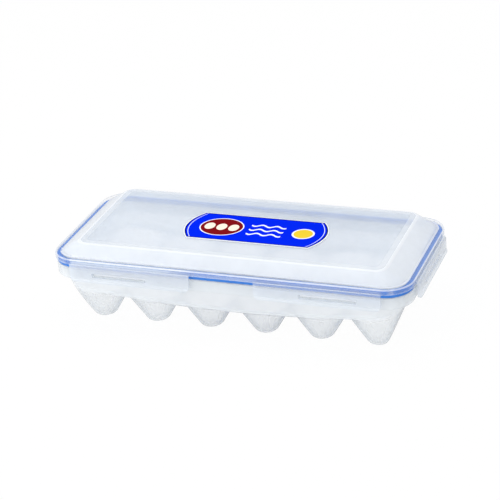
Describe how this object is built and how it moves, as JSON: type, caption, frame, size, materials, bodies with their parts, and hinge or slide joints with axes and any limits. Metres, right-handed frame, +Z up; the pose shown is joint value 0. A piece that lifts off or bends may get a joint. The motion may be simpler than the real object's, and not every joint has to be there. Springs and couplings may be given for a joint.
{
  "type": "egg keeper with flip lid",
  "caption": "Long clear-topped egg keeper: a tray of conical egg cups under a low domed flip lid with snap-down locking flaps and a soft gasket.",
  "frame": {"origin": "on the floor under the middle of the keeper, at the level of the cup feet", "axes": "+X along the long side to the right, +Y towards the back where the lid hinges, +Z up"},
  "size_m": [0.3156, 0.1466, 0.0742],
  "materials": {
    "tray_polypropylene": "clear frosted polypropylene",
    "lid_polypropylene": "clear frosted polypropylene",
    "silicone": "soft blue silicone",
    "label_film": "printed film"
  },
  "bodies": {
    "tray": {"tray": "tray_polypropylene"},
    "lid": {"lid": "lid_polypropylene", "gasket": "silicone", "label": "label_film"},
    "front_flap_left": {"front_flap_left": "lid_polypropylene"},
    "front_flap_right": {"front_flap_right": "lid_polypropylene"},
    "end_flap_left": {"end_flap_left": "lid_polypropylene"},
    "end_flap_right": {"end_flap_right": "lid_polypropylene"},
    "back_flap_left": {"back_flap_left": "lid_polypropylene"},
    "back_flap_right": {"back_flap_right": "lid_polypropylene"}
  },
  "joints": [
    {"name": "lid_hinge", "type": "hinge", "parent": "tray", "child": "lid", "pos_m": [0, 0.0706, 0.0598], "axis": [-1, 0, 0], "range_deg": [0, 110]},
    {"name": "front_flap_left_hinge", "type": "hinge", "parent": "lid", "child": "front_flap_left", "pos_m": [-0.08, -0.0706, 0.0598], "axis": [-1, 0, 0], "range_deg": [0, 140]},
    {"name": "front_flap_right_hinge", "type": "hinge", "parent": "lid", "child": "front_flap_right", "pos_m": [0.08, -0.0706, 0.0598], "axis": [-1, 0, 0], "range_deg": [0, 140]},
    {"name": "end_flap_left_hinge", "type": "hinge", "parent": "lid", "child": "end_flap_left", "pos_m": [-0.15515, 0, 0.0598], "axis": [0, 1, 0], "range_deg": [0, 140]},
    {"name": "end_flap_right_hinge", "type": "hinge", "parent": "lid", "child": "end_flap_right", "pos_m": [0.15515, 0, 0.0598], "axis": [0, -1, 0], "range_deg": [0, 140]},
    {"name": "back_flap_left_hinge", "type": "hinge", "parent": "tray", "child": "back_flap_left", "pos_m": [-0.08, 0.0706, 0.0598], "axis": [-1, 0, 0], "range_deg": [-140, 0]},
    {"name": "back_flap_right_hinge", "type": "hinge", "parent": "tray", "child": "back_flap_right", "pos_m": [0.08, 0.0706, 0.0598], "axis": [-1, 0, 0], "range_deg": [-140, 0]}
  ]
}
